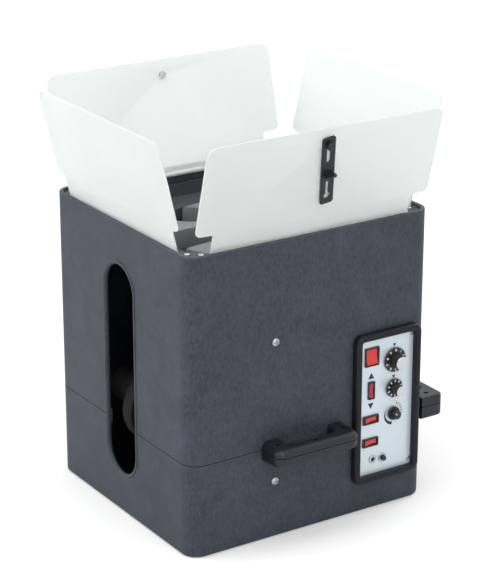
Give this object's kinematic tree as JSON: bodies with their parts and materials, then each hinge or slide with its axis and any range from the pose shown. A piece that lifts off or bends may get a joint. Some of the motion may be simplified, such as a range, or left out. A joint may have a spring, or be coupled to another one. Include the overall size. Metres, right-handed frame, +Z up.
{
  "type": "padel ball machine",
  "caption": "Portable padel ball machine: moulded case with folding hopper walls, side control panel, front throwing slot and a tilting two-wheel throwing head inside.",
  "frame": {"origin": "centre of the case's flat base, without the handles", "axes": "+Z up; -Y out of the throwing slot at the front; +X out of the control panel's side"},
  "size_m": [0.489, 0.5074, 0.6519],
  "materials": {
    "case_plastic": "rough moulded charcoal",
    "frame_plastic": "satin black",
    "black_plastic": "satin black",
    "red_plastic": "glossy red",
    "dark_red_plastic": "glossy dark red",
    "panel_metal": "brushed, printed",
    "hopper_sheet": "translucent white, fine grain",
    "liner_plastic": "grey moulded",
    "rotor_plastic": "light grey moulded",
    "zinc_steel": "zinc plated",
    "black_steel": "black painted",
    "motor_steel": "dark painted",
    "grey_plastic": "dark grey moulded",
    "wheel_rubber": "matte black",
    "brass": "machined",
    "board_green": "green solder mask"
  },
  "bodies": {
    "housing": {"lower_housing": "case_plastic", "upper_housing": "case_plastic", "side_handle_lower": "case_plastic", "side_handle_upper": "case_plastic", "rear_handle_lower": "case_plastic", "rear_handle_upper": "case_plastic", "control_frame": "frame_plastic", "power_bezel": "black_plastic", "elevation_bezel": "black_plastic", "remote_bezel": "black_plastic", "oscillator_bezel": "black_plastic", "ball_chute": "black_plastic", "control_panel": "panel_metal", "hopper_liner": "liner_plastic", "charge_socket": "zinc_steel", "reset_breaker": "zinc_steel", "right_hinge_rod": "zinc_steel", "left_hinge_rod": "zinc_steel", "front_hinge_rod": "zinc_steel", "rear_hinge_rod": "zinc_steel", "pivot_pin_left": "zinc_steel", "pivot_pin_right": "zinc_steel", "side_frame_left": "black_steel", "side_frame_right": "black_steel", "elevation_motor": "motor_steel", "oscillator_motor": "motor_steel", "feed_motor": "grey_plastic", "speed_potentiometer": "grey_plastic", "feed_potentiometer": "grey_plastic", "spin_potentiometer": "grey_plastic", "battery": "grey_plastic", "circuit_board": "board_green"},
    "right_panel": {"right_panel": "hopper_sheet"},
    "left_panel": {"left_panel": "hopper_sheet", "keeper_stud": "zinc_steel"},
    "front_panel": {"front_panel": "hopper_sheet"},
    "rear_panel": {"rear_panel": "hopper_sheet"},
    "latch_stud": {"latch_stud": "black_plastic"},
    "latch_strip": {"latch_strip": "black_plastic"},
    "feed_rotor": {"feed_rotor": "rotor_plastic"},
    "power_rocker": {"power_rocker": "red_plastic"},
    "elevation_rocker": {"elevation_rocker": "dark_red_plastic"},
    "remote_rocker": {"remote_rocker": "red_plastic"},
    "oscillator_rocker": {"oscillator_rocker": "red_plastic"},
    "speed_knob": {"speed_knob": "black_plastic"},
    "feed_knob": {"feed_knob": "black_plastic"},
    "spin_knob": {"spin_knob": "black_plastic"},
    "reset_button": {"reset_button": "black_plastic"},
    "throwing_head": {"head_plate_left": "black_steel", "head_plate_right": "black_steel", "head_crossmember": "black_steel", "upper_motor": "motor_steel", "lower_motor": "motor_steel", "sector_gear": "zinc_steel"},
    "upper_wheel": {"upper_wheel": "wheel_rubber"},
    "lower_wheel": {"lower_wheel": "wheel_rubber"},
    "elevation_pinion": {"elevation_pinion": "brass"},
    "oscillator_wheel": {"oscillator_wheel": "wheel_rubber"}
  },
  "joints": [
    {"name": "right_panel_fold", "type": "hinge", "parent": "housing", "child": "right_panel", "pos_m": [0.1911, 0, 0.471], "axis": [0, -1, 0], "range_deg": [0, 104.67]},
    {"name": "left_panel_fold", "type": "hinge", "parent": "housing", "child": "left_panel", "pos_m": [-0.1911, 0, 0.471], "axis": [0, 1, 0], "range_deg": [0, 104.67]},
    {"name": "front_panel_fold", "type": "hinge", "parent": "housing", "child": "front_panel", "pos_m": [0, -0.2064, 0.461], "axis": [-1, 0, 0], "range_deg": [0, 103.6]},
    {"name": "rear_panel_fold", "type": "hinge", "parent": "housing", "child": "rear_panel", "pos_m": [0, 0.2064, 0.461], "axis": [1, 0, 0], "range_deg": [0, 103.6]},
    {"name": "latch_swing", "type": "hinge", "parent": "right_panel", "child": "latch_stud", "pos_m": [0.2317, 0, 0.62607], "axis": [0.9674, 0, -0.2533], "range_deg": [-20, 172.1]},
    {"name": "latch_slide", "type": "slide", "parent": "latch_stud", "child": "latch_strip", "axis": [0.2508, -0.1374, 0.9582], "range_m": [0, 0.0264]},
    {"name": "feed_turn", "type": "hinge", "parent": "housing", "child": "feed_rotor", "pos_m": [0, 0.022, 0.4034], "axis": [0, 0, 1], "continuous": true},
    {"name": "power_rock", "type": "hinge", "parent": "housing", "child": "power_rocker", "pos_m": [0.2038, 0.1093, 0.2605], "axis": [0, 1, 0], "range_deg": [0, 14]},
    {"name": "elevation_rock", "type": "hinge", "parent": "housing", "child": "elevation_rocker", "pos_m": [0.2038, 0.1093, 0.2044], "axis": [0, -1, 0], "range_deg": [-7, 7], "stiffness_Nm_per_rad": 0.08},
    {"name": "remote_rock", "type": "hinge", "parent": "housing", "child": "remote_rocker", "pos_m": [0.2038, 0.1093, 0.1553], "axis": [0, 0, -1], "range_deg": [0, 14]},
    {"name": "oscillator_rock", "type": "hinge", "parent": "housing", "child": "oscillator_rocker", "pos_m": [0.2038, 0.1093, 0.117], "axis": [0, 0, -1], "range_deg": [0, 14]},
    {"name": "speed_turn", "type": "hinge", "parent": "housing", "child": "speed_knob", "pos_m": [0.225, 0.1525, 0.247], "axis": [-1, 0, 0], "range_deg": [0, 300]},
    {"name": "feed_rate_turn", "type": "hinge", "parent": "housing", "child": "feed_knob", "pos_m": [0.225, 0.1525, 0.1997], "axis": [-1, 0, 0], "range_deg": [0, 300]},
    {"name": "spin_set_turn", "type": "hinge", "parent": "housing", "child": "spin_knob", "pos_m": [0.2178, 0.1525, 0.1568], "axis": [-1, 0, 0], "range_deg": [0, 300]},
    {"name": "reset_press", "type": "slide", "parent": "housing", "child": "reset_button", "axis": [-1, 0, 0], "range_m": [0, 0.002], "stiffness_N_per_m": 300, "springref_m": -0.0005},
    {"name": "head_tilt", "type": "hinge", "parent": "housing", "child": "throwing_head", "pos_m": [0, -0.1, 0.24023], "axis": [-1, 0, 0], "range_deg": [-20, 25]},
    {"name": "upper_wheel_spin", "type": "hinge", "parent": "throwing_head", "child": "upper_wheel", "pos_m": [0, -0.09126, 0.32857], "axis": [-1, 0, 0], "continuous": true},
    {"name": "lower_wheel_spin", "type": "hinge", "parent": "throwing_head", "child": "lower_wheel", "pos_m": [0, -0.15009, 0.16694], "axis": [-1, 0, 0], "continuous": true},
    {"name": "pinion_turn", "type": "hinge", "parent": "housing", "child": "elevation_pinion", "pos_m": [0, -0.03245, 0.20123], "axis": [-1, 0, 0], "range_deg": [-90, 72]},
    {"name": "oscillator_spin", "type": "hinge", "parent": "housing", "child": "oscillator_wheel", "pos_m": [0, 0.176, 0.03], "axis": [0, 1, 0], "continuous": true}
  ],
  "couplings": [
    {"joint": "pinion_turn", "follows": "head_tilt", "ratio": -3.3333}
  ]
}
